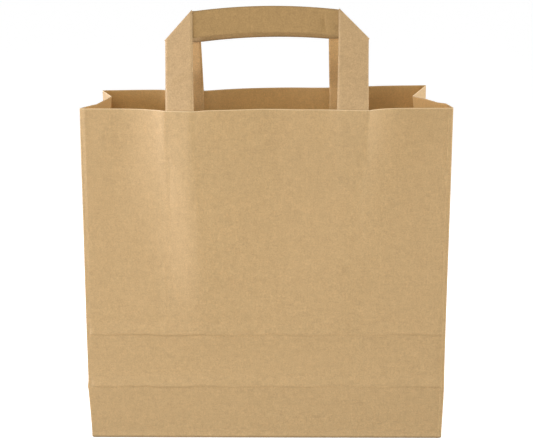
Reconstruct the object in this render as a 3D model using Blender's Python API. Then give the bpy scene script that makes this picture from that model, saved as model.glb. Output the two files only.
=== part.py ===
"""Brown kraft paper carrier bag: one folded block-bottom bag and two flat paper handles.

Metres, +Z up. The origin is the middle of the base, and the front panel faces -Y.
The bag's paper is one closed solid: outer and inner skins a sheet apart, with the base flaps fused on.
"""

from math import ceil, copysign, cos, pi, radians, sin

import bpy
from mathutils import Vector

FRONT = -1
REAR = 1

# The bag, folded and standing open.
WIDTH = 0.280
DEPTH = 0.140
HEIGHT = 0.265
PAPER = 0.0002
CORNER_AT_FOOT = 0.0014
CORNER_AT_RIM = 0.0026
GUSSET_DIP_LEFT = 0.015
GUSSET_DIP_RIGHT = 0.021
GUSSET_DIP_AT_FOLD = 0.003
GUSSET_CURVE_LEFT = 0.05
GUSSET_CURVE_RIGHT = 0.5
REAR_LEAN = 0.005

# It stands a little askew: how far the rear rim is shifted, and the rim's corners are out of level.
REAR_SHIFT = -0.0020
RISE_FRONT_RIGHT = 0.0005
RISE_REAR_LEFT = -0.0019
RISE_REAR_RIGHT = 0.0027

# Pressed fold lines across the front and the rear, and how far each stands out.
LOW_CREASE = 0.0433
HIGH_CREASE = 0.0865
LOW_CREASE_PUSH = 0.0030
HIGH_CREASE_PUSH = 0.0026
CREASE_SLACK = 0.0008
CREASE_ROW = 0.0028
CREASE_EASE = 1.6

# The base: two flaps folded over the end triangles, and the foot's fold.
FLAP_LAP = 0.030
FOOT_ROUND = 0.0008
FOOT_INSET = 0.0005

# The lap seam down the rear panel.
SEAM_FROM_EDGE = 0.028
SEAM_LAP = 0.015
SEAM_STEP = 0.0003

# Handles: a flat strip of several plies, folded at 45 degrees at both top corners.
STRIP_WIDTH = 0.0222
STRIP_THICK = 0.0008
HANDLE_GAP = 0.1052
FRONT_HANDLE_RISE = 0.0508
REAR_HANDLE_RISE = 0.0473
FRONT_HANDLE_SHIFT = 0.0005
REAR_HANDLE_SHIFT = 0.0
LEG_IN_BAG = 0.057
CROSSBAR_BOW = 0.003
CROSSBAR_OPENING = 0.15
HANDLE_TILT = radians(0.35)
FRONT_HANDLE_LEAN = radians(10)
REAR_HANDLE_LEAN = radians(28)
LEAN_START = 0.008
SEAT_LENGTH = 0.030
TWIST_KEPT = 0.6
FOLD_GAP = 0.0003

LEG_INNER = HANDLE_GAP / 2
LEG_OUTER = LEG_INNER + STRIP_WIDTH
RISE = {FRONT: FRONT_HANDLE_RISE, REAR: REAR_HANDLE_RISE}
LEAN = {FRONT: FRONT_HANDLE_LEAN, REAR: REAR_HANDLE_LEAN}
SHIFT = {FRONT: FRONT_HANDLE_SHIFT, REAR: REAR_HANDLE_SHIFT}

# The stiff legs push the panels out of flat. Each line goes across a panel: place, outward push.
NO_PUSH_HEIGHT = 0.060
LOW_HEIGHT = 0.108
MIDDLE_HEIGHT = 0.150
LEG_END_HEIGHT = 0.212
PANEL_END = 0.137
FRONT_AT_RIM = [
    (-PANEL_END, 0), (-0.110, 0.0020), (-0.094, 0.0048), (-0.084, 0.0088), (-LEG_OUTER, 0.0138),
    (-0.064, 0.0158), (-LEG_INNER, 0.0168), (-0.044, 0.0121), (-0.028, 0.0090), (0, 0.0045),
    (0.024, 0.0070), (0.044, 0.0077), (LEG_INNER, 0.0095), (LEG_OUTER, 0.0130), (0.084, 0.0062),
    (0.095, 0.0016), (PANEL_END, 0),
]
FRONT_AT_LEG_END = [
    (-PANEL_END, 0), (-0.108, 0.0009), (-0.090, 0.0044), (-LEG_OUTER, 0.0094), (-0.062, 0.0130),
    (-LEG_INNER, 0.0135), (-0.030, 0.0096), (0, 0.0046), (0.030, 0.0059), (LEG_INNER, 0.0065),
    (LEG_OUTER, 0.0040), (0.090, 0.0009), (PANEL_END, 0),
]
FRONT_AT_MIDDLE = [
    (-PANEL_END, 0), (-0.094, 0.0009), (-LEG_OUTER, 0.0036), (-0.058, 0.0070), (-0.048, 0.0076),
    (-0.016, 0.0044), (0, 0.0034), (0.044, 0.0041), (LEG_OUTER, 0.0020), (PANEL_END, 0),
]
FRONT_AT_LOW = [(-PANEL_END, 0), (-0.048, 0.0028), (0, 0.0013), (0.046, 0.0014), (PANEL_END, 0)]
REAR_AT_RIM = [
    (-PANEL_END, 0), (-0.100, -0.0040), (-LEG_OUTER, -0.0130), (-0.062, -0.0160), (-LEG_INNER, -0.0160),
    (-0.035, -0.0080), (-0.012, -0.0015), (0.015, -0.0005), (LEG_INNER, -0.0060), (LEG_OUTER, -0.0065),
    (0.100, -0.0020), (PANEL_END, 0),
]
FLAT = [(-PANEL_END, 0), (PANEL_END, 0)]
REAR_SHARES = [
    (NO_PUSH_HEIGHT, 0), (LOW_HEIGHT, 0.12), (MIDDLE_HEIGHT, 0.33), (LEG_END_HEIGHT, 0.72), (HEIGHT, 1),
]
FRONT_PUSHES = [
    (NO_PUSH_HEIGHT, FLAT), (LOW_HEIGHT, FRONT_AT_LOW), (MIDDLE_HEIGHT, FRONT_AT_MIDDLE),
    (LEG_END_HEIGHT, FRONT_AT_LEG_END), (HEIGHT, FRONT_AT_RIM),
]
EDGE_EASE = 0.012

# Patches glued inside over the leg ends.
PATCH_BELOW_RIM = 0.022
PATCH_TALL = 0.040
PATCH_MARGIN = 0.012
PATCH_RAMP = 0.002

# Clearance between glued pieces, and the mesh's spacing.
GLUE_GAP = 0.0003
PATCH_GAP = 0.0004
PANEL_STEP = 0.0105
ROW_STEP = 0.016
GUSSET_STEP = 0.014
NEAREST = 0.0009
STRIP_STEPS = 3
LEG_STEPS = 6
FOLD_ROW = 0.75
TURN_PLACE = 0.75
CROSSBAR_STEPS = 5
CORNER_STEPS = 3
FOLD_STEPS = 4
UNTWISTED_RINGS = 4

# Layers of the base above the ground, in sheets: the closing sheet, and how far each flap reaches into it.
BASE_FOOT = 2 * PAPER
BASE_TOP = 3 * PAPER
REAR_FLAP_TOP = 2.3 * PAPER
FRONT_FLAP_TOP = 2.5 * PAPER
GUSSET_FOLD = DEPTH / 2

KRAFT_BAG = (0.50, 0.34, 0.18, 1.0)
KRAFT_HANDLE = (0.47, 0.31, 0.15, 1.0)
KRAFT_PATCH = (0.44, 0.29, 0.14, 1.0)
PAPER_ROUGHNESS = 0.85


def remove_everything():
    for obj in list(bpy.data.objects):
        bpy.data.objects.remove(obj, do_unlink=True)


def kraft(name, colour):
    """Matt brown paper."""
    material = bpy.data.materials.new(name)
    material.use_nodes = True
    shader = material.node_tree.nodes["Principled BSDF"]
    shader.inputs["Base Color"].default_value = colour
    shader.inputs["Roughness"].default_value = PAPER_ROUGHNESS
    shader.inputs["Metallic"].default_value = 0.0
    return material


def make_object(name, points, faces, material):
    mesh = bpy.data.meshes.new(name)
    mesh.from_pydata(points, [], faces)
    mesh.materials.append(material)
    obj = bpy.data.objects.new(name, mesh)
    bpy.context.scene.collection.objects.link(obj)
    return obj


def clamped(value, low, high):
    return min(max(value, low), high)


def ease(t):
    """0 to 1 with a level start and end."""
    t = clamped(t, 0.0, 1.0)
    return t * t * (3 - 2 * t)


def slope_at(stations, k):
    """The slope of a smooth curve at its station k, level at both ends."""
    if k == 0 or k == len(stations) - 1:
        return 0.0
    before, after = stations[k - 1], stations[k + 1]
    return (after[1] - before[1]) / (after[0] - before[0])


def through(place, stations):
    """A smooth curve through (place, value) pairs."""
    place = clamped(place, stations[0][0], stations[-1][0])
    k = 0
    while place > stations[k + 1][0]:
        k += 1
    (start, first), (end, last) = stations[k], stations[k + 1]
    step = end - start
    t = (place - start) / step
    leaving = first * (1 + 2 * t) + slope_at(stations, k) * step * t
    arriving = last * (3 - 2 * t) - slope_at(stations, k + 1) * step * (1 - t)
    return leaving * (1 - t) ** 2 + arriving * t**2


def filled(levels, step):
    """The levels in order, none closer than NEAREST, with even ones between those over a step apart."""
    kept = []
    for level in sorted(levels, reverse=True):
        if not kept or kept[-1] - level > NEAREST:
            kept.append(level)
    kept.reverse()
    result = kept[:1]
    for low, high in zip(kept, kept[1:]):
        parts = ceil((high - low) / step - NEAREST)
        result += [low + (high - low) * k / parts for k in range(1, parts + 1)]
    return result


def corner_radius(z):
    return CORNER_AT_FOOT + (CORNER_AT_RIM - CORNER_AT_FOOT) * z / HEIGHT


def crease_push(z):
    """How far a panel stands out at height z because of its two pressed fold lines."""
    if z <= LOW_CREASE:
        return LOW_CREASE_PUSH * max(z, 0.0) / LOW_CREASE
    if z <= HIGH_CREASE:
        t = (z - LOW_CREASE) / (HIGH_CREASE - LOW_CREASE)
        level = LOW_CREASE_PUSH + (HIGH_CREASE_PUSH - LOW_CREASE_PUSH) * t
        return level - CREASE_SLACK * sin(pi * t)
    t = (z - HIGH_CREASE) / (HEIGHT - HIGH_CREASE)
    return HIGH_CREASE_PUSH * (1 - ease(CREASE_EASE * t))


def leg_push(x, z, side):
    """How far the handle's legs push a panel out at this place."""
    if side == REAR:
        return through(x, REAR_AT_RIM) * through(z, REAR_SHARES)
    return through(z, [(height, through(x, stations)) for height, stations in FRONT_PUSHES])


def panel_out(x, z, side):
    """The distance of a panel's outer face from the bag's middle plane."""
    lean = REAR_LEAN * z / HEIGHT if side == REAR else 0.0
    inside_edge = ease((WIDTH / 2 - corner_radius(z) - abs(x)) / EDGE_EASE)
    return DEPTH / 2 - lean + crease_push(z) + leg_push(x, z, side) * inside_edge


def stretched(x, z, side):
    """How much longer the way straight into the bag is than the way square to a sloping panel."""
    slope = (panel_out(x + NEAREST, z, side) - panel_out(x - NEAREST, z, side)) / (2 * NEAREST)
    return (1 + slope**2) ** 0.5


def settled(point):
    """The same point with the bag's slight skew: rear rim shifted, rim corners out of level."""
    x, y, z = point
    up = clamped(z / HEIGHT, 0.0, 1.0) ** 2
    back = clamped(y / DEPTH + 0.5, 0.0, 1.0)
    right = clamped(x / WIDTH + 0.5, 0.0, 1.0)
    rear_rise = RISE_REAR_LEFT + (RISE_REAR_RIGHT - RISE_REAR_LEFT) * right
    rise = rear_rise * back + RISE_FRONT_RIGHT * right * (1 - back)
    return Vector((x + REAR_SHIFT * back * up, y, z + rise * up))


def panel_columns(side):
    """The x of each column between a panel's corner folds, shared with the pieces glued to it."""
    half = [0.0, LEG_INNER - PATCH_RAMP, LEG_INNER, LEG_OUTER, LEG_OUTER + PATCH_RAMP]
    half.append(LEG_OUTER + PATCH_MARGIN)
    half.append(WIDTH / 2 - SEAM_FROM_EDGE)
    half.append(WIDTH / 2 - EDGE_EASE)
    half = filled(half, PANEL_STEP)
    return [SHIFT[side] - x for x in reversed(half[1:])] + [SHIFT[side] + x for x in half]


def wall_rows():
    """The heights of the rows of the walls, foot to rim."""
    named = [FOOT_ROUND, GUSSET_FOLD, HEIGHT]
    named += [LOW_CREASE, LOW_CREASE + CREASE_ROW, HIGH_CREASE, HIGH_CREASE + CREASE_ROW]
    named += [HEIGHT - LEG_IN_BAG, HEIGHT - PATCH_BELOW_RIM, HEIGHT - PATCH_BELOW_RIM - PATCH_TALL]
    below = [z for z in named if z <= GUSSET_FOLD]
    above = [z for z in named if z >= GUSSET_FOLD]
    return filled(below, GUSSET_STEP)[:-1] + filled(above, ROW_STEP)


def gusset_stations(rows):
    """Places across a gusset, -1 at its front fold to 1 at its rear, on the 45 degree folds at each row."""
    half = [1 - z / GUSSET_FOLD for z in rows if FOOT_ROUND < z < GUSSET_FOLD]
    half = [1.0] + half + [0.0]
    return [-t for t in half] + half[-2::-1]


def gusset_dip(t, z, rim_dip, curve):
    """How far a gusset is drawn in: a crease down its middle that divides into two lines at 45 degrees."""
    share = max(0.0, (z - GUSSET_FOLD) / (HEIGHT - GUSSET_FOLD))
    crease = GUSSET_DIP_AT_FOLD + (rim_dip - GUSSET_DIP_AT_FOLD) * share
    dip = crease * (1 - abs(t)) ** (1 + curve * share)
    if z < GUSSET_FOLD:
        dip = min(dip, GUSSET_DIP_AT_FOLD * max(z, 0.0) / GUSSET_FOLD)
    return dip


def corner_arc(centre, radius, start):
    """Points on a quarter circle, its two ends left out."""
    angles = [start + pi / 2 * k / CORNER_STEPS for k in range(1, CORNER_STEPS)]
    return [(centre[0] + radius * cos(a), centre[1] + radius * sin(a)) for a in angles]


def outline(z, stations, inset=0.0):
    """The outer outline at height z, anticlockwise from above, and how far each point is doubled."""
    radius = corner_radius(z)
    half = WIDTH / 2 - inset
    end = half - radius
    front_y = inset - panel_out(end, z, FRONT)
    rear_y = panel_out(end, z, REAR) - inset
    low, high = front_y + radius, rear_y - radius
    places = [(t, low + (high - low) * (t + 1) / 2) for t in stations]
    front = [(x, inset - panel_out(x, z, FRONT)) for x in [-end] + panel_columns(FRONT) + [end]]
    rear = [(x, panel_out(x, z, REAR) - inset) for x in [-end] + panel_columns(REAR) + [end]]
    right = [(half - gusset_dip(t, z, GUSSET_DIP_RIGHT, GUSSET_CURVE_RIGHT), y) for t, y in places]
    left = [(gusset_dip(t, z, GUSSET_DIP_LEFT, GUSSET_CURVE_LEFT) - half, y) for t, y in places]
    before_rear = front + corner_arc((end, low), radius, -pi / 2)
    before_rear += right + corner_arc((end, high), radius, 0.0)
    after_rear = corner_arc((-end, high), radius, pi / 2) + left[::-1] + corner_arc((-end, low), radius, pi)
    seam = WIDTH / 2 - SEAM_FROM_EDGE
    lapped = [seam - SEAM_LAP - SEAM_STEP < x < seam + SEAM_STEP for x, _ in reversed(rear)]
    doubled = [0.0] * len(before_rear) + [PAPER if lap else 0.0 for lap in lapped] + [0.0] * len(after_rear)
    return before_rear + rear[::-1] + after_rear, doubled


def pushed(points, distances):
    """A closed outline with each point moved outward along its own normal."""
    count = len(points)
    result = []
    for k, (x, y) in enumerate(points):
        before, after = Vector(points[k - 1]), Vector(points[(k + 1) % count])
        along = (after - before).normalized()
        result.append((x + along.y * distances[k], y - along.x * distances[k]))
    return result


def split(a, b, c, d, first_way):
    """A quad as two triangles, cut from its first corner to its third or the other way."""
    if first_way:
        return [(a, b, c), (a, c, d)]
    return [(a, b, d), (b, c, d)]


def ring_faces(first, second, count):
    """Quads between two rings of points that start at these numbers."""
    return [
        (first + k, first + (k + 1) % count, second + (k + 1) % count, second + k)
        for k in range(count)
    ]


def bag_walls(material):
    """The four walls: an outer and an inner skin, joined at the rim and at the foot."""
    rows = wall_rows()
    stations = gusset_stations(rows)
    levels = [(PAPER / 2, FOOT_INSET)] + [(z, 0.0) for z in rows]
    outer, inner = [], []
    for z, inset in levels:
        points, doubled = outline(z, stations, inset)
        outer.append([settled((x, y, z)) for x, y in pushed(points, doubled)])
        inner.append([settled((x, y, z)) for x, y in pushed(points, [-PAPER] * len(points))])
    count = len(outer[0])
    points = [point for ring in outer + inner[::-1] for point in ring]
    rings = 2 * len(levels)
    faces = []
    for ring in range(rings):
        quads = ring_faces(ring * count, (ring + 1) % rings * count, count)
        if UNTWISTED_RINGS <= ring < len(levels):
            faces += [face for quad in quads for face in split(*quad, True)]
        elif len(levels) <= ring < rings - 1 - UNTWISTED_RINGS:
            faces += [face for quad in quads for face in split(*quad, False)]
        else:
            faces += quads
    return make_object("bag_body", points, faces, material)


def prism(name, outline_points, foot, top, material):
    """A flat piece with this outline, anticlockwise from above."""
    count = len(outline_points)
    points = [(x, y, foot) for x, y in outline_points] + [(x, y, top) for x, y in outline_points]
    faces = ring_faces(0, count, count)
    faces.append(tuple(range(count - 1, -1, -1)))
    faces.append(tuple(range(count, 2 * count)))
    return make_object(name, points, faces, material)


def base_sheet(material):
    """The layer that closes the bag, which shows outside as the two end triangles."""
    stations = gusset_stations(wall_rows())
    points, _ = outline(PAPER / 2, stations, FOOT_INSET)
    return prism("base_sheet", pushed(points, [-PAPER / 2] * len(points)), BASE_FOOT, BASE_TOP, material)


def base_flap(name, side, foot, top, material):
    """A base flap: from its fold it narrows at 45 degrees to the middle line, then laps over it."""
    fold_x = WIDTH / 2 - CORNER_AT_FOOT - FOOT_INSET
    fold_y = DEPTH / 2 - FOOT_INSET - PAPER / 2
    tip_x = fold_x - fold_y
    half = [(fold_x, -fold_y), (tip_x, 0.0), (tip_x, FLAP_LAP / 2)]
    points = half + [(-x, y) for x, y in reversed(half)]
    if side == REAR:
        points = [(-x, -y) for x, y in points]
    return prism(name, points, foot, top, material)


def union(body, pieces):
    """Fuses the pieces into the body."""
    for piece in pieces:
        modifier = body.modifiers.new(piece.name, "BOOLEAN")
        modifier.operation = "UNION"
        modifier.solver = "EXACT"
        modifier.object = piece
        piece.hide_render = True
        piece.display_type = "WIRE"


def bag_body(material):
    body = bag_walls(material)
    rear_flap = base_flap("rear_flap", REAR, PAPER, REAR_FLAP_TOP, material)
    front_flap = base_flap("front_flap", FRONT, 0.0, FRONT_FLAP_TOP, material)
    union(body, [base_sheet(material), rear_flap, front_flap])
    return body


def leaned(rise, angle):
    """How far a leaning strip has moved inward and down, bending smoothly from upright at the rim."""
    free = max(rise, 0.0)
    share = free / (free + LEAN_START)
    return sin(angle) * free * share, (1 - cos(angle)) * free * share


def clear_of_rim(x, side):
    """Where the panel's outer face would be, above the rim: each leg keeps part of its twist."""
    hand = copysign(1.0, x)
    inner = {end: panel_out(end * LEG_INNER + SHIFT[side], HEIGHT, side) for end in (-1.0, 1.0)}
    if abs(x) <= LEG_INNER:
        return inner[-1.0] + (inner[1.0] - inner[-1.0]) * (x + LEG_INNER) / HANDLE_GAP
    outer = panel_out(hand * LEG_OUTER + SHIFT[side], HEIGHT, side)
    return inner[hand] + TWIST_KEPT * (outer - inner[hand]) * (abs(x) - LEG_INNER) / STRIP_WIDTH


def leg_seat(x, z, side):
    """The distance of a leg's middle from the bag's middle plane."""
    seat = panel_out(x + SHIFT[side], min(z, HEIGHT), side)
    free = ease((z - HEIGHT) / SEAT_LENGTH)
    seat += (clear_of_rim(x, side) - seat) * free
    return seat - PAPER - GLUE_GAP - STRIP_THICK / 2


def crossbar_set_back(x, rise, side):
    """How far the crossbar hangs behind its corner folds: it springs open there and bows between."""
    reach = abs(x)
    if reach < LEG_INNER:
        along = (LEG_INNER**2 - reach**2) / (2 * LEG_INNER)
    else:
        along = LEG_INNER - reach
    return CROSSBAR_OPENING * max(0.0, along + RISE[side] + STRIP_WIDTH - rise)


def strip_point(x, rise, layer, side):
    """A point of a handle's middle surface: layer 0 is a leg, 1 the crossbar behind it."""
    behind = layer * (STRIP_THICK + FOLD_GAP + crossbar_set_back(x, rise, side))
    inward, down = leaned(rise, LEAN[side])
    y = leg_seat(x, HEIGHT + rise, side) - inward - behind
    bow = layer * CROSSBAR_BOW * max(0.0, 1 - (x / LEG_INNER) ** 2)
    return Vector((x + SHIFT[side], side * y, HEIGHT + rise - down + bow + HANDLE_TILT * x))


def leg_rows(side):
    """A leg's rows from its end to its corner fold, each as the rise at the outer and at the inner edge."""
    rows = [(z - HEIGHT, z - HEIGHT) for z in wall_rows() if z > HEIGHT - LEG_IN_BAG - NEAREST]
    level = RISE[side] * FOLD_ROW
    rows += [(level * k / LEG_STEPS, level * k / LEG_STEPS) for k in range(1, LEG_STEPS + 1)]
    rows.append(((level + RISE[side]) / 2, (level + RISE[side] + STRIP_WIDTH) / 2))
    rows.append((RISE[side], RISE[side] + STRIP_WIDTH))
    return rows


def half_strip(hand, side):
    """Rows across the strip: up one leg, round its corner fold and to the crossbar's middle."""
    shares = [k / STRIP_STEPS for k in range(STRIP_STEPS + 1)]
    across = [hand * (LEG_OUTER - STRIP_WIDTH * c) for c in shares]
    rises = [RISE[side] + STRIP_WIDTH * c for c in shares]
    rows = []
    for outer_rise, inner_rise in leg_rows(side):
        heights = [outer_rise + (inner_rise - outer_rise) * c for c in shares]
        rows.append([strip_point(x, rise, 0, side) for x, rise in zip(across, heights)])
    bend = (STRIP_THICK + FOLD_GAP) / 2
    for k in range(1, FOLD_STEPS):
        angle = pi * k / FOLD_STEPS
        layer = (1 - cos(angle)) / 2
        out = Vector((hand, 0, 1)).normalized() * bend * sin(angle)
        rows.append([strip_point(x, rise, layer, side) + out for x, rise in zip(across, rises)])
    rows.append([strip_point(x, rise, 1, side) for x, rise in zip(across, rises)])
    turn = hand * LEG_INNER * TURN_PLACE
    rows.append([strip_point((x + turn) / 2, rise, 1, side) for x, rise in zip(across, rises)])
    for k in range(CROSSBAR_STEPS + 1):
        x = turn * (1 - k / CROSSBAR_STEPS)
        rows.append([strip_point(x, rise, 1, side) for rise in rises])
    return rows


def grid_normals(rows):
    """The unit normal at each point of a grid of points."""
    normals = []
    for i, row in enumerate(rows):
        line = []
        for j in range(len(row)):
            along = rows[min(i + 1, len(rows) - 1)][j] - rows[max(i - 1, 0)][j]
            across = row[min(j + 1, len(row) - 1)] - row[max(j - 1, 0)]
            line.append(along.cross(across).normalized())
        normals.append(line)
    return normals


def thick_sheet(name, rows, thickness, side, material):
    """A closed solid of even thickness about a grid of points, with its quads cut as the panel's are."""
    rows = [[settled(point) for point in row] for row in rows]
    normals = grid_normals(rows)
    count, wide = len(rows), len(rows[0])
    skins = []
    for sign in (1, -1):
        for row, line in zip(rows, normals):
            skins += [point + normal * sign * thickness / 2 for point, normal in zip(row, line)]
    size = count * wide
    faces = []
    for i in range(count - 1):
        for j in range(wide - 1):
            a = i * wide + j
            quad = (a, a + wide, a + wide + 1, a + 1)
            skin = split(*quad, side == FRONT)
            faces += skin
            faces += [tuple(size + number for number in reversed(face)) for face in skin]
    rim = list(range(wide))
    rim += [i * wide + wide - 1 for i in range(1, count)]
    rim += [(count - 1) * wide + j for j in range(wide - 2, -1, -1)]
    rim += [i * wide for i in range(count - 2, 0, -1)]
    for a, b in zip(rim, rim[1:] + rim[:1]):
        faces.append((a, b, size + b, size + a))
    return make_object(name, skins, faces, material)


def handle(name, side, material):
    left, right = half_strip(-1, side), half_strip(1, side)
    return thick_sheet(name, left + right[-2::-1], STRIP_THICK, side, material)


def handle_patch(name, side, material):
    """The paper patch glued over both leg ends, following the panel and stepping over the legs."""
    half = LEG_OUTER + PATCH_MARGIN
    columns = [x for x in panel_columns(side) if abs(x - SHIFT[side]) < half + NEAREST]
    top = HEIGHT - PATCH_BELOW_RIM
    foot = top - PATCH_TALL
    rows = [z for z in wall_rows() if foot - NEAREST < z < top + NEAREST]
    grid = []
    for z in rows:
        line = []
        for x in columns:
            over_leg = LEG_INNER - NEAREST < abs(x - SHIFT[side]) < LEG_OUTER + NEAREST
            stand = STRIP_THICK + GLUE_GAP if over_leg else 0.0
            inside = (PAPER + PATCH_GAP + PAPER / 2) * stretched(x, z, side) + stand
            y = panel_out(x, z, side) - inside
            line.append(Vector((x, side * y, z)))
        grid.append(line)
    return thick_sheet(name, grid, PAPER, side, material)


def main():
    remove_everything()
    paper = kraft("kraft_bag", KRAFT_BAG)
    strip = kraft("kraft_handle", KRAFT_HANDLE)
    patch = kraft("kraft_patch", KRAFT_PATCH)
    bag_body(paper)
    handle("front_handle", FRONT, strip)
    handle("rear_handle", REAR, strip)
    handle_patch("front_handle_patch", FRONT, patch)
    handle_patch("rear_handle_patch", REAR, patch)


main()
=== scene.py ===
"""The looks of the paper carrier bag: a folded sheet, strip handles, kraft paper and soft light."""

from math import cos, pi, radians, sin

import bpy
import numpy as np
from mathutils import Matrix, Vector


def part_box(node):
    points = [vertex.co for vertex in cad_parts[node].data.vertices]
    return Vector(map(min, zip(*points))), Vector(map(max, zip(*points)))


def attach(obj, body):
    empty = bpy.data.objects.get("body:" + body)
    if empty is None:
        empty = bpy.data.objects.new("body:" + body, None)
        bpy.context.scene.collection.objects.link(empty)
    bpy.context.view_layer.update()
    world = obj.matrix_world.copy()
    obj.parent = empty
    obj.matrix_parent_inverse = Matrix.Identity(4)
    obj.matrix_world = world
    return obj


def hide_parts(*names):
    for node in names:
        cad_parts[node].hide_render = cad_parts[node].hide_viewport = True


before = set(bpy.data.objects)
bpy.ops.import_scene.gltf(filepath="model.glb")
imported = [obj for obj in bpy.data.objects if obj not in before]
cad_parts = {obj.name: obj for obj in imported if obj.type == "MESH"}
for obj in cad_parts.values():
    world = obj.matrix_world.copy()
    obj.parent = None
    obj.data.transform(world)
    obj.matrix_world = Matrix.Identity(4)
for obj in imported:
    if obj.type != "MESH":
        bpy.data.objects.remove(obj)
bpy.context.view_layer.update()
_, bag_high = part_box("bag_body")

FRONT = -1
REAR = 1
MM = 0.001

# Sizes of the bag in metres. The height is read from its solid.
WIDTH = 0.280
RISE_REAR_RIGHT = 0.0027
HEIGHT = bag_high.z - RISE_REAR_RIGHT
DEPTH = 0.140
PAPER = 0.00025
REAR_LEAN = 0.005
CORNER_AT_FOOT = 0.0009
CORNER_AT_RIM = 0.0012
STRIP_WIDTH = 0.0222
STRIP_THICK = 0.0009
LEG_INNER = 0.0526
LEG_OUTER = LEG_INNER + STRIP_WIDTH
GUSSET_FOLD = DEPTH / 2
GUSSET_DIP_LEFT = 0.015
GUSSET_DIP_RIGHT = 0.021
GUSSET_DIP_AT_FOLD = 0.003
GUSSET_CURVE_LEFT = 0.05
GUSSET_CURVE_RIGHT = 0.5
CREASE_BACK = 0.25
# The gussets' bends at the rim: place from the front fold, -1, to the rear fold, 1,
# and share of the full depth.
LEFT_AT_RIM = ((-1, 0), (-0.74, 0.44), (-0.68, 0.60), (0, 0.92), (1, 0))
RIGHT_AT_RIM = ((-1, 0), (-0.66, 0.08), (-0.57, 0.34), (-0.27, 0.62), (0, 1), (1, 0))
BENT_FROM = 0.17
EDGE_EASE = 0.012
GLUE_GAP = 0.0003

# The two pressed fold lines across each panel, and the lip over each.
LOW_CREASE = 0.0433
HIGH_CREASE = 0.0865
LOW_CREASE_PUSH = 0.0030
HIGH_CREASE_PUSH = 0.0026
CREASE_SLACK = 0.0007
CREASE_EASE = 1.6
CREASE_LIP = 0.00070
CREASE_LIP_RISE = 0.0026
CREASE_LIP_FALL = 0.0090
CREASE_WAVE = 0.0004
CREASE_LOWER = 0.0003
CREASE_LIP_EDGE = 0.003
CREASE_FADES = 0.35
CREASE_FADE_LENGTH = 0.045
CREASE_FADE_PLACE = 0.4
CREASE_UNEVEN = 0.2
CREASE_UNEVEN_LENGTH = 0.016
WAVE_LENGTH = 0.0085
WAVE_PLACE = 1.0
SHORT_WAVE_LENGTH = 0.0031
SHORT_WAVE_SHARE = 0.6

# The pressed line near the right corner fold, and faint lines pressed into the front.
CORNER_LINE_AT_FOOT = 0.0022
CORNER_LINE_AT_RIM = 0.0038
CORNER_LINE_DEPTH = 0.00035
CORNER_LINE_WIDE = 0.00045
CORNER_TURN = 0.28
PRESSED_LINES = ((-0.0784, 0.070, 0.150), (0.0734, 0.043, 0.120), (0.0083, 0.030, 0.060))
PRESSED_DEPTH = 0.00009
PRESSED_WIDE = 0.0008
PRESSED_FADE = 0.015

# Faint waves in the sheet.
COCKLE_WAVES = 9
COCKLE_LENGTHS = (0.018, 0.055)
COCKLE_SIZE = 0.0009
COCKLE_FROM = 0.020
COCKLE_SEED = 3

# Handles.
HANDLE_RISE = {-1: 0.0508, 1: 0.0481}
CROSSBAR_BOW = 0.003
CROSSBAR_OPENING = 0.15
FRONT_HANDLE_LEAN = radians(10)
REAR_HANDLE_LEAN = radians(28)
LEAN_START = 0.008
HANDLE_TILT = 0.006
HANDLE_SHIFT = {-1: 0.0005, 1: 0.0}
TWIST_KEPT_LEFT = 1.3
TWIST_KEPT_RIGHT = 0.1
# Shift of each leg's inner edge, at the rim and at the crossbar: first the left leg, then the right.
EDGE_SHIFT = {-1: ((-0.0013, -0.0020), (-0.0008, 0.0)), 1: ((0.0008, -0.0002), (0.0034, 0.0009))}
SHIFT_FROM = 0.040
# The crossbar's lower edge stands up by this much, and the front strip has a crease and a wrinkle.
SQUEEZE = {-1: 0.0024, 1: 0.0}
SQUEEZE_START = 1.5
STRIP_MARKS = (
    ((-0.0719, 0.0225), (-0.0546, 0.0314), 0.0020, 0.00080),
    ((0.0432, 0.0550), (0.0416, 0.0670), 0.0012, -0.00080),
)
MARK_FADE = 0.004
SEAT_LENGTH = 0.030
FOLD_GAP = 0.0003
LEG_IN_BAG = 0.057

# Patches.
PATCH_BELOW_RIM = 0.022
PATCH_TALL = 0.040
PATCH_MARGIN = 0.012
PATCH_RAMP = 0.002
PATCH_GAP = 0.0006

# How finely the sheets are divided.
NEAREST = 0.0007
COLUMN_STEP = 0.0031
CORNER_COLUMN_STEP = 0.0004
CORNER_COLUMNS = 8
LEG_EDGE_STEP = 0.0008
LEG_EDGE_COLUMNS = 4
STATION_STEP = 0.0055
ROW_STEP = 0.0031
CREASE_ROWS = (-0.0008, 0.0032, 0.0004)
CORNER_STEPS = 5
CUT_EDGE = 0.0006
STRIP_SHARES = np.linspace(0, 1, 13)
LEG_STEP = 0.0025
LEG_TOP = 0.72
LEG_TOP_ROWS = 5
FOLD_ROWS = 6
TURN_PLACE = 0.75
TURN_ROWS = 20
CROSSBAR_STEP = 0.0012
PATCH_COLUMN_STEP = 0.003
PATCH_ROW_STEP = 0.004

# The foot: rows just above it, rings round it as height and inset, and rings across the base.
FOOT_ROWS = (0.0015, 0.0028, 0.0044)
FOOT_RINGS = ((0.0010, 0.00004), (0.0006, 0.00015), (0.0002, 0.0005))
BASE_INSETS = (0.0016, 0.004, 0.012, 0.025, 0.040, 0.0545, 0.0553, 0.062, 0.0692)
FLAP_LAP = 0.015
END_LAP = 0.0004
SMALLEST_CORNER = 0.0004
CORNER_DRAWN_IN = 0.6

# Paper lets some light through.
THROUGH_COLOUR = (0.95, 0.72, 0.42)
THROUGH_SHARE = 0.20
STRIP_THROUGH_SHARE = 0.05
PATCH_THROUGH_SHARE = 0.5

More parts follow.
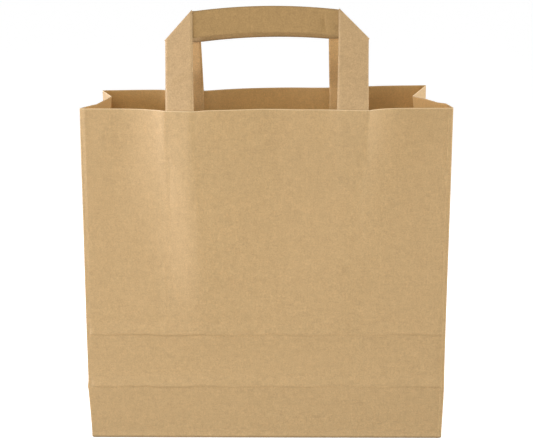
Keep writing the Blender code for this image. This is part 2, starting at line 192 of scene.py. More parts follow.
# Each paper's tone and how uneven it is.
OUTSIDE = ((0.429, 0.300, 0.151), 0.13)
# The inside faces are the same paper as the outside; their tone is set lighter and more orange as
# painted bounce light inside the bag.
INSIDE_BOUNCE_LIGHT = ((0.52, 0.315, 0.115), 0.13)
# The cut rim and a thin band just under it are set much lighter: partly the cut fibres' paler tone,
# partly a painted highlight along the rim.
EDGE_AND_RIM_HIGHLIGHT = ((0.62, 0.47, 0.27), 0.05)
STRIP = ((0.385, 0.258, 0.130), 0.12)
# The strip's back face is set darker than its front; it is the face seen on the front crossbar.
STRIP_BACK = ((0.310, 0.195, 0.080), 0.12)
# The rear handle's face towards the front is set much lighter than the strip's front: painted light
# on the rear legs, which face down into the bag and get little lamp light.
STRIP_INNER_LIT = ((0.57, 0.355, 0.145), 0.12)
LINING = ((0.55, 0.37, 0.17), 0.08)

# Pulp and fibres: a noise's scale, detail, stretch and share of the paper's unevenness.
BLOTCH = (220, 3, (1.0, 1.0, 1.0), 0.35)
PULP = (1000, 5, (1.0, 1.0, 1.0), 1.15)
FIBRE = (700, 3, (1.0, 1.0, 0.22), 0.3)
CROSS_FIBRE = (650, 3, (0.22, 0.22, 1.0), 0.3)
NOISE_LOW = 0.3
NOISE_HIGH = 0.7
PAPER_ROUGHNESS = 0.88
PAPER_SHINE = 0.25
TOOTH_STRENGTH = 0.25
TOOTH_DEPTH = 0.00012

# The paper along the foot is darkened up to this height: painted shade where the rounded foot meets
# the floor.
FOOT_SHADE_FROM = 0.0008
FOOT_SHADE_TO = 0.0022
FOOT_PAINTED_SHADE = 0.62

# Studio: the left light a little cool, the front ones a little warm.
WHITE = (1, 1, 1, 1)
WORLD_LIGHT = 0.64
FLOOR_TONE = (0.93, 0.93, 0.93, 1)
FLOOR_ROUGHNESS = 0.9
FLOOR_GLOW = 0.40
FLOOR_HALF = 30.0
FLOOR_DROP = 0.0002
LEFT_TINT = (0.95, 1.0, 1.26)
RIGHT_TINT = (0.97, 1.0, 1.10)
FRONT_TINT = (1.02, 1.0, 0.93)
# Name, place, aim, side, power and tint.
LIGHTS = (
    ("left_box", (-0.95, -0.11, 0.27), (0, 0, 0.17), 0.5, 12.5, LEFT_TINT),
    ("right_box", (0.90, -0.08, 0.27), (0, 0, 0.17), 0.5, 8.5, RIGHT_TINT),
    ("near_box", (-0.08, -0.62, 0.15), (-0.04, 0, 0.15), 0.15, 1.40, FRONT_TINT),
    ("high_box", (-0.25, -1.45, 0.75), (0, 0, 0.20), 0.4, 6.3, FRONT_TINT),
)
SENSOR = 36.0
LENS = 1097 / 533 * SENSOR
CAMERA_BACK = 0.8181
CAMERA_UP = 0.1076
CAMERA_TILT = radians(13.4)


def ease(t):
    """0 to 1 with a level start and end, for numbers and arrays."""
    t = np.clip(t, 0.0, 1.0)
    return t * t * (3 - 2 * t)


def through(x, stations):
    """A smooth curve through (place, value) pairs, level beyond its ends."""
    places = np.array([place for place, _ in stations])
    values = np.array([value for _, value in stations])
    slopes = np.gradient(values, places)
    slopes[0] = slopes[-1] = 0.0
    x = np.clip(x, places[0], places[-1])
    k = np.clip(np.searchsorted(places, x) - 1, 0, len(places) - 2)
    step = places[k + 1] - places[k]
    t = (x - places[k]) / step
    start = values[k] * (1 + 2 * t) * (1 - t) ** 2 + slopes[k] * step * t * (1 - t) ** 2
    end = values[k + 1] * t * t * (3 - 2 * t) + slopes[k + 1] * step * t * t * (t - 1)
    return start + end


def corner_radius(z):
    return CORNER_AT_FOOT + (CORNER_AT_RIM - CORNER_AT_FOOT) * z / HEIGHT


# Each panel's push away from flat, in millimetres: across and out, at the rim and below it.
FRONT_RIM = [(-137, 0), (-120, 0.4), (-110, 0.8), (-102, 1.7), (-94, 3.4), (-87, 6.0), (-82, 8.7)]
FRONT_RIM += [(-78.5, 11.4), (-77, 12.4), (-76, 13.0), (-75.2, 13.3), (-74, 13.6), (-70, 14.6)]
FRONT_RIM += [(-63, 16.2), (-57, 17.5), (-54.5, 17.8), (-52, 16.7), (-49, 14.6), (-45, 12.5)]
FRONT_RIM += [(-40, 11.2), (-32, 9.8), (-24, 8.3), (-14, 6.2), (-4, 4.6), (4, 4.4), (11, 5.1)]
FRONT_RIM += [(18, 6.3), (25, 7.1), (34, 7.3), (44, 7.7), (50, 8.8), (55, 10.0), (62, 11.0)]
FRONT_RIM += [(69, 12.0), (73, 12.6), (75, 12.8), (76, 12.4), (77, 11.6), (79, 9.8), (81.5, 7.6)]
FRONT_RIM += [(85, 5.2), (90, 2.8), (96, 1.2), (104, 0.4), (120, 0.1), (137, 0)]
FRONT_HIGH = [(-137, 0), (-118, 0.2), (-108, 0.7), (-99, 1.9), (-90, 4.0), (-81, 6.9), (-77, 8.5)]
FRONT_HIGH += [(-75.5, 9.1), (-73, 9.9), (-68, 12.0), (-60, 14.6), (-55, 15.5), (-51, 15.4)]
FRONT_HIGH += [(-46, 14.0), (-36, 11.2), (-24, 8.4), (-12, 6.2), (0, 4.6), (8, 4.8), (18, 5.5)]
FRONT_HIGH += [(28, 5.9), (38, 6.0), (48, 6.4), (56, 7.2), (63, 7.6), (70, 7.0), (76, 5.0)]
FRONT_HIGH += [(82, 2.8), (90, 1.1), (100, 0.2), (137, 0)]
FRONT_MIDDLE = [(-137, 0), (-105, 0.2), (-94, 0.7), (-84, 1.7), (-74, 3.9), (-66, 6.4)]
FRONT_MIDDLE += [(-58, 8.8), (-51, 9.8), (-42, 9.2), (-30, 7.0), (-16, 4.9), (-2, 3.5), (12, 3.3)]
FRONT_MIDDLE += [(28, 3.9), (44, 4.5), (56, 5.0), (66, 4.5), (76, 2.6), (86, 1.0), (98, 0.2)]
FRONT_MIDDLE += [(137, 0)]
FRONT_LOW = [(-137, 0), (-100, 0.2), (-84, 0.8), (-70, 2.1), (-58, 3.4), (-48, 4.0), (-34, 3.4)]
FRONT_LOW += [(-14, 2.1), (6, 1.4), (28, 1.5), (48, 1.9), (62, 1.8), (76, 0.9), (92, 0.2)]
FRONT_LOW += [(137, 0)]
REAR_RIM = [(-137, 0), (-100, -1.0), (-88, -3.0), (-80, -8.0), (-75, -12.5), (-69, -15.0)]
REAR_RIM += [(-62, -16), (-53, -16), (-35, -8), (-12, -1.5), (15, -0.5), (53, -6), (75, -6.2)]
REAR_RIM += [(83, -2.5), (92, -0.5), (137, 0)]
# How far each side stands out from flat, in millimetres, by height.
LEFT_OUT = [(0, 0.1), (36, 1.15), (41, 1.35), (44, 1.75), (48, 1.3), (60, 1.25), (94, 1.1)]
LEFT_OUT += [(190, 0.8), (240, 0.5), (265, 0.2)]
RIGHT_OUT = [(0, 0.2), (43, 0.6), (50, 0.55), (94, 0.2), (190, 0.4), (265, 0.1)]
PUSH_HEIGHTS = (0.060, 0.108, 0.150, 0.212, 0.265)
FRONT_PUSH = (FRONT_LOW, FRONT_MIDDLE, FRONT_HIGH, FRONT_RIM)
REAR_FADE = (0.0, 0.12, 0.33, 0.72, 1.0)
# The rim's corners stand a little out of level, and the rear is shifted sideways.
RISE_REAR_LEFT = -0.0019
RISE_FRONT_RIGHT = 0.0005
REAR_SHIFT = -0.0020
# The foot's right end stands forward, and its front has a slight step and a lip.
FOOT_TURN = 0.0018
FOOT_FORWARD = 0.0003
FOOT_LIP = 0.0009
FOOT_LIP_TALL = 0.0046


def push(x, z, side):
    """A panel's push away from flat, joined smoothly between the heights that it is given at."""
    if side == FRONT:
        layers = [0 * x]
        layers += [through(x / MM, profile) * MM for profile in FRONT_PUSH]
    else:
        rim = through(x / MM, REAR_RIM) * MM
        layers = [rim * share for share in REAR_FADE]
    heights = np.array(PUSH_HEIGHTS) * HEIGHT / PUSH_HEIGHTS[-1]
    z = np.clip(z, heights[0], heights[-1])
    total = np.zeros(x.shape)
    for k, layer in enumerate(layers):
        alone = [(height, 1.0 if j == k else 0.0) for j, height in enumerate(heights)]
        total += layer * through(z, alone)
    return total


def settled(points):
    """The bag stands a little askew: rear rim shifted, corners uneven, right foot forward."""
    x, y, z = points[..., 0], points[..., 1], points[..., 2]
    up = np.clip(z / HEIGHT, 0, 1)
    back = np.clip(y / DEPTH + 0.5, 0, 1)
    right = np.clip(x / WIDTH + 0.5, 0, 1)
    rear = RISE_REAR_LEFT + (RISE_REAR_RIGHT - RISE_REAR_LEFT) * right
    rise = rear * back + RISE_FRONT_RIGHT * right * (1 - back)
    moved = points.copy()
    moved[..., 0] = x + REAR_SHIFT * back * up * up
    foot = FOOT_TURN * right * (1 - up) + FOOT_FORWARD * np.clip(1 - z / LOW_CREASE, 0, 1)
    foot = foot + FOOT_LIP * np.clip(1 - z / FOOT_LIP_TALL, 0, 1)
    moved[..., 1] = y - foot * (1 - back)
    moved[..., 2] = z + rise * up * up
    return moved


def crease_push(z):
    """How far a panel stands out at height z because of its two pressed fold lines."""
    below = LOW_CREASE_PUSH * np.clip(z / LOW_CREASE, 0, 1)
    t = np.clip((z - LOW_CREASE) / (HIGH_CREASE - LOW_CREASE), 0, 1)
    between = (HIGH_CREASE_PUSH - LOW_CREASE_PUSH) * t - CREASE_SLACK * np.sin(pi * t)
    above = HIGH_CREASE_PUSH * ease(CREASE_EASE * (z - HIGH_CREASE) / (HEIGHT - HIGH_CREASE))
    return below + between - np.where(z > HIGH_CREASE, above, 0)


def crease_lip(z, crease):
    """The narrow lip of a pressed fold: a quick rise just over the line, then a slow fall."""
    rise = ease((z - crease) / CREASE_LIP_RISE)
    fall = 1 - ease((z - crease - CREASE_LIP_RISE) / CREASE_LIP_FALL)
    return CREASE_LIP * rise * fall


def crease_wave(x):
    """A pressed fold isn't quite straight across the panel."""
    short = SHORT_WAVE_SHARE * np.sin(x / SHORT_WAVE_LENGTH)
    return CREASE_WAVE * (np.sin(x / WAVE_LENGTH + WAVE_PLACE) + short)


def pressed(x, z, side):
    """Lines pressed into a panel: one near its right corner fold, faint ones on the front."""
    line = WIDTH / 2 - CORNER_LINE_AT_FOOT - (CORNER_LINE_AT_RIM - CORNER_LINE_AT_FOOT) * z / HEIGHT
    depth = CORNER_LINE_DEPTH * np.exp(-(((x - line) / CORNER_LINE_WIDE) ** 2))
    turned = WIDTH / 2 - corner_radius(z) - line
    depth -= CORNER_TURN * ease(z / HEIGHT) * np.clip(-x - line, 0, turned)
    if side == FRONT:
        for place, low, high in PRESSED_LINES:
            fade = ease((z - low) / PRESSED_FADE) * ease((high - z) / PRESSED_FADE)
            depth += PRESSED_DEPTH * np.exp(-(((x - place) / PRESSED_WIDE) ** 2)) * fade
    return depth


def cockle(x, z, side):
    """Faint waviness of a paper sheet: a few long waves in fixed directions."""
    draw = np.random.default_rng(COCKLE_SEED + side)
    total = np.zeros(np.broadcast(x, z).shape)
    for _ in range(COCKLE_WAVES):
        length = draw.uniform(*COCKLE_LENGTHS)
        angle = draw.uniform(0, pi)
        phase = draw.uniform(0, 2 * pi)
        total += np.sin((x * cos(angle) + z * sin(angle)) * 2 * pi / length + phase) * length
    return total * COCKLE_SIZE


def panel_out(x, z, side):
    """The distance of a panel's outer face from the bag's middle plane."""
    x, z = np.broadcast_arrays(np.asarray(x, float), np.asarray(z, float))
    lean = REAR_LEAN * z / HEIGHT if side == REAR else 0.0
    from_fold = WIDTH / 2 - corner_radius(z) - np.abs(x)
    edge = ease(from_fold / EDGE_EASE)
    high = z - crease_wave(x) * edge + CREASE_LOWER
    near_edge = ease(from_fold / CREASE_LIP_EDGE)
    strength = 1.0 - CREASE_FADES * np.sin(x / CREASE_FADE_LENGTH + CREASE_FADE_PLACE)
    strength = strength + CREASE_UNEVEN * np.sin(x / CREASE_UNEVEN_LENGTH)
    lips = (crease_lip(high, LOW_CREASE) + crease_lip(high, HIGH_CREASE)) * near_edge * strength
    wave = cockle(x, z, side) * edge * ease(z / COCKLE_FROM)
    flat = DEPTH / 2 - lean + crease_push(high) + pressed(x, z, side)
    return flat + push(x, z, side) * edge + lips + wave


def gusset_dip(t, z, side):
    """How far a gusset is drawn in: a crease down its middle that divides in two at 45 degrees."""
    rim_dip = GUSSET_DIP_LEFT if side < 0 else GUSSET_DIP_RIGHT
    share = np.clip((z - GUSSET_FOLD) / (HEIGHT - GUSSET_FOLD), 0, 1)
    crease = GUSSET_DIP_AT_FOLD + (rim_dip - GUSSET_DIP_AT_FOLD) * share
    power = 1 + (GUSSET_CURVE_RIGHT if side > 0 else GUSSET_CURVE_LEFT) * share
    bent = ease((z - BENT_FROM) / (HEIGHT - BENT_FROM))
    places, depths = zip(*(LEFT_AT_RIM if side < 0 else RIGHT_AT_RIM))
    above = crease * ((1 - bent) * (1 - np.abs(t)) ** power + bent * np.interp(t, places, depths))
    below = GUSSET_DIP_AT_FOLD * np.clip(z, 0, None) / GUSSET_FOLD
    return np.where(z < GUSSET_FOLD, np.minimum(above, below), above)


def gusset_place(t, z, side):
    """Where a station lies between the corner folds: the left crease wanders back near the rim."""
    share = np.clip((z - GUSSET_FOLD) / (HEIGHT - GUSSET_FOLD), 0, 1) ** 2
    return t + (CREASE_BACK if side < 0 else 0.0) * share * (1 - np.abs(t))


def even(start, end, step):
    count = max(2, int(round(abs(end - start) / step)) + 1)
    return np.linspace(start, end, count)


def with_levels(values, extra):
    """The values with these added, less any value that nearly equals an added one."""
    kept = [v for v in values if min(abs(v - e) for e in extra) > NEAREST]
    kept = sorted(kept + list(extra))
    return np.array([kept[0]] + [v for u, v in zip(kept, kept[1:]) if v - u > NEAREST / 4])


def wall_rows():
    """Heights of the rows of the walls, close together at the fold lines, the rim and the foot."""
    rows = even(FOOT_ROWS[0], HEIGHT, ROW_STEP)
    close = [*FOOT_ROWS, HEIGHT - CUT_EDGE, HEIGHT]
    for crease in (LOW_CREASE, HIGH_CREASE):
        close += list(crease + even(*CREASE_ROWS))
    return with_levels(rows, close)


def side_out(z, stations):
    return float(through(z / MM, stations)) * MM


def around(z, inset):
    """Points of the sheet's outer face all round at height z, anticlockwise from above."""
    radius = max(corner_radius(z) - inset * CORNER_DRAWN_IN, SMALLEST_CORNER)
    left_half = WIDTH / 2 - inset + side_out(z, LEFT_OUT)
    right_half = WIDTH / 2 - inset + side_out(z, RIGHT_OUT)
    left_end = left_half - radius
    right_end = right_half - radius
    columns = np.where(COLUMNS < 0, COLUMNS * left_end, COLUMNS * right_end)
    low, left_low = (inset + radius - panel_out(x, z, FRONT) for x in (WIDTH, -WIDTH))
    high, left_high = (panel_out(x, z, REAR) - inset - radius for x in (WIDTH, -WIDTH))
    if inset == 0:
        front = -panel_out(columns, z, FRONT)
        rear = panel_out(columns, z, REAR)
        right_dip, left_dip = (gusset_dip(STATIONS, z, hand) for hand in (1, -1))
    else:
        front = np.full(len(columns), low - radius)
        rear = np.full(len(columns), high + radius)
        right_dip = left_dip = 0.0 * STATIONS
    angles = np.linspace(0, pi / 2, CORNER_STEPS + 2)[1:-1]
    right_y = low + (high - low) * (gusset_place(STATIONS, z, 1) + 1) / 2
    left_y = left_low + (left_high - left_low) * (gusset_place(STATIONS, z, -1) + 1) / 2
    right = right_half - right_dip
    left = left_dip - left_half

    def arc(x, y, start):
        turn = start + angles
        return np.stack([x + radius * np.cos(turn), y + radius * np.sin(turn)], 1)

    parts = [
        np.stack([columns, front], 1),
        arc(right_end, low, -pi / 2),
        np.stack([right, right_y], 1),
        arc(right_end, high, 0.0),
        np.stack([columns, rear], 1)[::-1],
        arc(-left_end, left_high, pi / 2),
        np.stack([left, left_y], 1)[::-1],
        arc(-left_end, left_low, pi),
    ]
    flat = np.concatenate(parts)
    return np.concatenate([flat, np.full((len(flat), 1), z)], 1)


def named_columns():
    """Columns at the corner folds, the legs' edges and pressed lines, as shares of the half width."""
    half = WIDTH / 2 - CORNER_AT_RIM
    corner = [half - CORNER_COLUMN_STEP * k for k in range(1, CORNER_COLUMNS + 1)]
    places = corner + [-place for place in corner]
    for hand in (-1, 1):
        outer = hand * LEG_OUTER + HANDLE_SHIFT[FRONT]
        beside = range(-LEG_EDGE_COLUMNS, LEG_EDGE_COLUMNS + 1)
        places += [outer + LEG_EDGE_STEP * k for k in beside]
        places.append(hand * LEG_INNER + HANDLE_SHIFT[FRONT])
    for place, _, _ in PRESSED_LINES:
        places += [place - PRESSED_WIDE, place, place + PRESSED_WIDE]
    return [place / half for place in sorted(places)]


COLUMNS = with_levels(even(-1, 1, COLUMN_STEP / (WIDTH / 2)), named_columns())
BENDS = sorted({place for place, _ in LEFT_AT_RIM + RIGHT_AT_RIM if abs(place) < 1})
STATIONS = with_levels(even(-1, 1, STATION_STEP / (DEPTH / 2)), BENDS)


def new_object(name, points, faces, materials):
    mesh = bpy.data.meshes.new(name)
    mesh.from_pydata([tuple(p) for p in points], [], faces)
    for material in materials:
        mesh.materials.append(material)
    mesh.shade_smooth()
    obj = bpy.data.objects.new(name, mesh)
    bpy.context.scene.collection.objects.link(obj)
    return obj


def base_level(points):
    """The underside's level: front flap lowest, then the rear flap, then the two end triangles."""
    x, y = points[:, 0], points[:, 1]
    tip = WIDTH / 2 - DEPTH / 2
    ends = np.abs(x) - tip > np.abs(y) - END_LAP
    lap = (y < FLAP_LAP) & (np.abs(x) < tip)
    level = np.where((y < 0) | lap, 0.0, PAPER)
    return np.where(ends, 2 * PAPER, level)


def paper_bag(materials):
    """The bag as one sheet: four walls, the rounded foot, and the base drawn in to its middle."""
    rings = [around(z, 0.0) for z in wall_rows()[::-1]]
    for z, inset in FOOT_RINGS:
        scaled = around(0.0, 0.0)
        scaled[:, :2] *= 1 - inset / (DEPTH / 2)
        scaled[:, 2] = z
        rings.append(scaled)
    for inset in BASE_INSETS:
        ring = around(0.0, inset)
        ring[:, 2] = base_level(ring)
        rings.append(ring)
    count = len(rings[0])
    points = settled(np.concatenate(rings))
    faces = []
    for k in range(len(rings) - 1):
        for j in range(count):
            a, b = k * count + j, k * count + (j + 1) % count
            faces.append((a, a + count, b + count, b))
    last = (len(rings) - 1) * count
    wide = len(COLUMNS)
    rear_start = wide + CORNER_STEPS + len(STATIONS) + CORNER_STEPS
    for j in range(wide - 1):
        across = last + rear_start + wide - 1 - j
        faces.append((last + j, across, across - 1, last + j + 1))
    faces.append(tuple(last + j for j in range(wide - 1, rear_start + 1))[::-1])
    left_loop = list(range(rear_start + wide - 1, count)) + [0]
    faces.append(tuple(last + j for j in left_loop)[::-1])
    bag = new_object("paper_bag", points, faces, materials)
    # The top band of the walls takes the cut edge's lighter paper: partly its paler cut fibres,
    # partly a painted highlight along the rim.
    for polygon in list(bag.data.polygons)[:count]:
        polygon.material_index = 2
    solid = bag.modifiers.new("thickness", "SOLIDIFY")
    solid.thickness = PAPER
    solid.offset = -1.0
    solid.use_even_offset = False
    solid.material_offset = 1
    solid.material_offset_rim = 2
    return bag


def leaned(rise, angle):
    """How far a point at this length above the rim leans inward, and how far it drops."""
    free = np.maximum(rise, 0.0)
    share = free / (free + LEAN_START)
    return sin(angle) * free * share, (1 - cos(angle)) * free * share


def clear_of_rim(x, side):
    """Where the panel's outer face would be, above the rim: each leg keeps part of its twist."""
    places = np.array([-LEG_OUTER, -LEG_INNER, LEG_INNER, LEG_OUTER])
    outer_left, left, right, outer_right = panel_out(places + HANDLE_SHIFT[side], HEIGHT, side)
    turned_left = left + TWIST_KEPT_LEFT * (outer_left - left)
    turned_right = right + TWIST_KEPT_RIGHT * (outer_right - right)
    kept = [turned_left, left, right, turned_right]
    return np.interp(x, places, kept)


def leg_seat(x, z, side):
    """The distance of a leg's middle from the bag's middle plane."""
    seat = panel_out(x + HANDLE_SHIFT[side], np.minimum(z, HEIGHT), side)
    free = ease((z - HEIGHT) / SEAT_LENGTH)
    return seat + (clear_of_rim(x, side) - seat) * free - PAPER - GLUE_GAP - STRIP_THICK / 2


def crossbar_set_back(x, rise, side):
    reach = np.abs(x)
    inner = (LEG_INNER**2 - reach**2) / (2 * LEG_INNER)
    along = np.where(reach < LEG_INNER, inner, LEG_INNER - reach)
    return CROSSBAR_OPENING * np.maximum(0.0, along + HANDLE_RISE[side] + STRIP_WIDTH - rise)


def edge_shift(x, rise, side):
    """The legs aren't quite even: their inner edges stand off to one side, more so at one end."""
    up = np.clip(rise / HANDLE_RISE[side], 0, 1)
    left, right = [low + (high - low) * up for low, high in EDGE_SHIFT[side]]
    near_left = np.interp(x, [-LEG_OUTER, -LEG_INNER, 0], [0, 1, 0])
    near_right = np.interp(x, [0, LEG_INNER, LEG_OUTER], [0, 1, 0])
    freed = ease((rise + SHIFT_FROM) / (SHIFT_FROM - PATCH_BELOW_RIM))
    return (left * near_left + right * near_right) * freed


def strip_marks(x, rise):
    """A soft crease across the left leg and a wrinkle near the crossbar's right end."""
    total = np.zeros(x.shape)
    for (x0, rise0), (x1, rise1), wide, depth in STRIP_MARKS:
        long = np.hypot(x1 - x0, rise1 - rise0)
        along = ((x - x0) * (x1 - x0) + (rise - rise0) * (rise1 - rise0)) / long
        off = ((x - x0) * (rise1 - rise0) - (rise - rise0) * (x1 - x0)) / long
        ends = ease(along / MARK_FADE + 0.5) * ease((long - along) / MARK_FADE + 0.5)
        total += depth * np.exp(-((off / wide) ** 2)) * ends
    return total


def strip_row(x, rise, layer, side, lean):
    """One row of points across a handle's strip."""
    behind = layer * (STRIP_THICK + FOLD_GAP + crossbar_set_back(x, rise, side))
    inward, down = leaned(rise, lean)
    x = x + edge_shift(x, rise, side)
    marks = strip_marks(x, rise) if side == FRONT else 0.0
    y = leg_seat(x, HEIGHT + rise, side) - inward - behind + marks
    bow = layer * CROSSBAR_BOW * np.maximum(0.0, 1 - (x / LEG_INNER) ** 2)
    tilt = HANDLE_TILT * x
    return np.stack([x + HANDLE_SHIFT[side], side * y, HEIGHT + rise - down + bow + tilt], 1)


def half_strip(mirror, side, lean):
    """Rows of points from a leg's end, up round its corner fold and on to the crossbar's middle."""
    shares = STRIP_SHARES
    tall = HANDLE_RISE[side]
    rows = []
    leg_x = -LEG_OUTER + STRIP_WIDTH * shares
    for rise in even(-LEG_IN_BAG, tall * LEG_TOP, LEG_STEP):
        rows.append((leg_x, np.full(len(shares), rise), 0, 0.0))
    for t in np.linspace(0, 1, LEG_TOP_ROWS + 1)[1:]:
        low = tall * (LEG_TOP + (1 - LEG_TOP) * t)
        high = tall * LEG_TOP + (tall * (1 - LEG_TOP) + STRIP_WIDTH) * t
        rows.append((leg_x, low + (high - low) * shares, 0, 0.0))
    corner_rise = tall + STRIP_WIDTH * shares
    bend = (STRIP_THICK + FOLD_GAP) / 2
    for angle in np.linspace(0, pi, FOLD_ROWS + 2)[1:-1]:
        rows.append((leg_x, corner_rise, (1 - cos(angle)) / 2, bend * sin(angle) / 2**0.5))
    turn_x = -LEG_INNER * TURN_PLACE
    squeezed = SQUEEZE[side] * (1 - shares)
    for t in np.linspace(0, 1, TURN_ROWS):
        raised = corner_rise + squeezed * min(1.0, SQUEEZE_START * t)
        rows.append((leg_x + (turn_x - leg_x) * t, raised, 1, 0.0))
    for x in even(turn_x, 0.0, CROSSBAR_STEP)[1:]:
        rows.append((np.full(len(shares), x), corner_rise + squeezed, 1, 0.0))
    made = []
    for x, rise, layer, out in rows:
        row = strip_row(x * mirror, rise, layer, side, lean)
        row[:, 0] -= out * mirror
        row[:, 2] += out
        made.append(row)
    return made


def thick_sheet(name, rows, thickness, materials):
    """A sheet of even thickness about rows of points."""
    rows = settled(np.array(rows))
    count, wide = rows.shape[:2]
    faces = [
        (i * wide + j, i * wide + j + 1, (i + 1) * wide + j + 1, (i + 1) * wide + j)
        for i in range(count - 1)
        for j in range(wide - 1)
    ]
    obj = new_object(name, rows.reshape(-1, 3), faces, materials)
    solid = obj.modifiers.new("thickness", "SOLIDIFY")
    solid.thickness = thickness
    solid.offset = 0.0
    solid.use_even_offset = False
    solid.material_offset = len(materials) - 1
    return obj


def handle(name, side, lean, materials):
    left = half_strip(1, side, lean)
    right = half_strip(-1, side, lean)
    return thick_sheet(name, left + right[-2::-1], STRIP_THICK, materials)


def patch(name, side, materials):
    """The paper patch over both leg ends."""
    half = LEG_OUTER + PATCH_MARGIN
    ramps = [LEG_INNER - PATCH_RAMP, LEG_INNER, LEG_OUTER, LEG_OUTER + PATCH_RAMP]
    levels = [-place for place in ramps[::-1]] + ramps
    columns = with_levels(even(-half, half, PATCH_COLUMN_STEP), levels)
    top = HEIGHT - PATCH_BELOW_RIM
    over = ease((np.abs(columns) - LEG_INNER + PATCH_RAMP) / PATCH_RAMP)
    over *= ease((LEG_OUTER + PATCH_RAMP - np.abs(columns)) / PATCH_RAMP)
    rows = []
    for z in even(top - PATCH_TALL, top, PATCH_ROW_STEP):
        places = columns + HANDLE_SHIFT[side]
        y = panel_out(places, z, side) - 1.5 * PAPER - PATCH_GAP - over * (STRIP_THICK + GLUE_GAP)
        rows.append(np.stack([places, side * y, np.full(len(columns), z)], 1))
    return thick_sheet(name, rows, PAPER, materials)


def kraft(name, colour, speck, through_share=THROUGH_SHARE):
    """Uncoated brown kraft paper: mottled pulp, short fibres, a faint tooth and painted shade along
    the foot.
    """
    material = bpy.data.materials.new(name)
    material.use_nodes = True
    nodes, links = material.node_tree.nodes, material.node_tree.links
    shader = nodes["Principled BSDF"]
    shader.inputs["Roughness"].default_value = PAPER_ROUGHNESS
    shader.inputs["Specular IOR Level"].default_value = PAPER_SHINE
    place = nodes.new("ShaderNodeTexCoord")

    def noise(scale, detail, stretch):
        mapping = nodes.new("ShaderNodeMapping")
        mapping.inputs["Scale"].default_value = stretch
        texture = nodes.new("ShaderNodeTexNoise")
        texture.inputs["Scale"].default_value = scale
        texture.inputs["Detail"].default_value = detail
        links.new(place.outputs["Object"], mapping.inputs["Vector"])
        links.new(mapping.outputs["Vector"], texture.inputs["Vector"])
        return texture.outputs["Fac"]

    def ramp(source, low, high, dark, light):
        step = nodes.new("ShaderNodeMapRange")
        step.inputs["From Min"].default_value = low
        step.inputs["From Max"].default_value = high
        step.inputs["To Min"].default_value = dark
        step.inputs["To Max"].default_value = light
        links.new(source, step.inputs["Value"])
        return step.outputs["Result"]

    def times(first, second):
        product = nodes.new("ShaderNodeMath")
        product.operation = "MULTIPLY"
        links.new(first, product.inputs[0])
        links.new(second, product.inputs[1])
        return product.outputs["Value"]

    def grain(kind):
        scale, detail, stretch, share = kind
        source = noise(scale, detail, stretch)
        part = speck * share
        return source, ramp(source, NOISE_LOW, NOISE_HIGH, 1 - part, 1 + part)

    _, tone = grain(BLOTCH)
    pulp, pulp_tone = grain(PULP)
    tone = times(tone, pulp_tone)
    for kind in (FIBRE, CROSS_FIBRE):
        tone = times(tone, grain(kind)[1])
    height = nodes.new("ShaderNodeSeparateXYZ")
    links.new(place.outputs["Object"], height.inputs["Vector"])
    # Painted shade: the paper is darkened near the floor, along the foot.
    tone = times(tone, ramp(height.outputs["Z"], FOOT_SHADE_FROM, FOOT_SHADE_TO, FOOT_PAINTED_SHADE, 1.0))
    shade = nodes.new("ShaderNodeVectorMath")
    shade.operation = "SCALE"
    shade.inputs[0].default_value = colour
    links.new(tone, shade.inputs["Scale"])
    links.new(shade.outputs["Vector"], shader.inputs["Base Color"])
    bump = nodes.new("ShaderNodeBump")
    bump.inputs["Strength"].default_value = TOOTH_STRENGTH
    bump.inputs["Distance"].default_value = TOOTH_DEPTH
    links.new(pulp, bump.inputs["Height"])
    links.new(bump.outputs["Normal"], shader.inputs["Normal"])
    through_light = nodes.new("ShaderNodeBsdfTranslucent")
    through_light.inputs["Color"].default_value = (*THROUGH_COLOUR, 1)
    blend = nodes.new("ShaderNodeMixShader")
    blend.inputs["Fac"].default_value = through_share
    links.new(shader.outputs["BSDF"], blend.inputs[1])
    links.new(through_light.outputs["BSDF"], blend.inputs[2])
    links.new(blend.outputs["Shader"], nodes["Material Output"].inputs["Surface"])
    return material


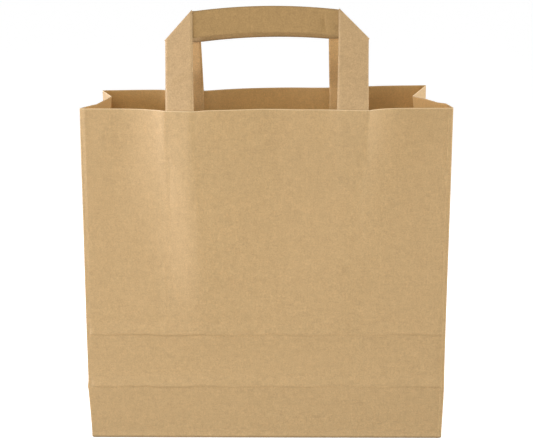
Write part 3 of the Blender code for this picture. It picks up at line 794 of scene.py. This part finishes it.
def studio():
    """A pale floor, soft light from both sides and above, and the photograph's view."""
    scene = bpy.context.scene
    scene.view_settings.view_transform = "Standard"
    world = bpy.data.worlds.new("studio")
    scene.world = world
    world.use_nodes = True
    world.node_tree.nodes["Background"].inputs["Color"].default_value = WHITE
    world.node_tree.nodes["Background"].inputs["Strength"].default_value = WORLD_LIGHT
    floor_material = bpy.data.materials.new("floor")
    floor_material.use_nodes = True
    floor_shader = floor_material.node_tree.nodes["Principled BSDF"]
    floor_shader.inputs["Base Color"].default_value = FLOOR_TONE
    floor_shader.inputs["Roughness"].default_value = FLOOR_ROUGHNESS
    floor_shader.inputs["Emission Color"].default_value = WHITE
    floor_shader.inputs["Emission Strength"].default_value = FLOOR_GLOW
    half = FLOOR_HALF
    corners = [(-half, -half, 0), (half, -half, 0), (half, half, 0), (-half, half, 0)]
    floor = new_object("floor", corners, [(0, 1, 2, 3)], [floor_material])
    floor.location.z = -FLOOR_DROP
    # Light from a white floor would hide the pressed lines, so the floor's stays off the paper.
    floor.visible_diffuse = False
    for name, place, aim, side, power, tint in LIGHTS:
        data = bpy.data.lights.new(name, "AREA")
        data.shape = "SQUARE"
        data.size = side
        data.energy = power
        data.color = tint
        light = bpy.data.objects.new(name, data)
        light.location = place
        light.rotation_euler = (Vector(aim) - Vector(place)).to_track_quat("-Z", "Y").to_euler()
        scene.collection.objects.link(light)
    camera_data = bpy.data.cameras.new("camera")
    camera_data.sensor_width = SENSOR
    camera_data.lens = LENS
    camera = bpy.data.objects.new("camera", camera_data)
    camera.location = (0.0, -DEPTH / 2 - CAMERA_BACK, HEIGHT + CAMERA_UP)
    camera.rotation_euler = (pi / 2 - CAMERA_TILT, 0, 0)
    scene.collection.objects.link(camera)
    scene.camera = camera


def main():
    studio()
    paper = kraft("kraft_outside", *OUTSIDE)
    inside = kraft("kraft_inside", *INSIDE_BOUNCE_LIGHT)
    edge = kraft("kraft_cut_edge_and_rim_highlight", *EDGE_AND_RIM_HIGHLIGHT)
    strip = kraft("kraft_handle", *STRIP, STRIP_THROUGH_SHARE)
    strip_back = kraft("kraft_handle_back", *STRIP_BACK, STRIP_THROUGH_SHARE)
    strip_inner_lit = kraft("kraft_rear_handle_lit", *STRIP_INNER_LIT, STRIP_THROUGH_SHARE)
    lining = kraft("kraft_patch", *LINING, PATCH_THROUGH_SHARE)
    bag = paper_bag([paper, inside, edge])
    front = handle("front_strip", FRONT, FRONT_HANDLE_LEAN, [strip, strip_back])
    rear = handle("rear_strip", REAR, REAR_HANDLE_LEAN, [strip_inner_lit, strip_back])
    front_patch = patch("front_patch", FRONT, [lining])
    rear_patch = patch("rear_patch", REAR, [lining])
    pieces = (
        (bag, "bag_body", "bag_paper"),
        (front, "front_handle", "handle_paper"),
        (rear, "rear_handle", "handle_paper"),
        (front_patch, "front_handle_patch", "patch_paper"),
        (rear_patch, "rear_handle_patch", "patch_paper"),
    )
    for piece, node, slot in pieces:
        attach(piece, "root")
        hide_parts(node)


main()
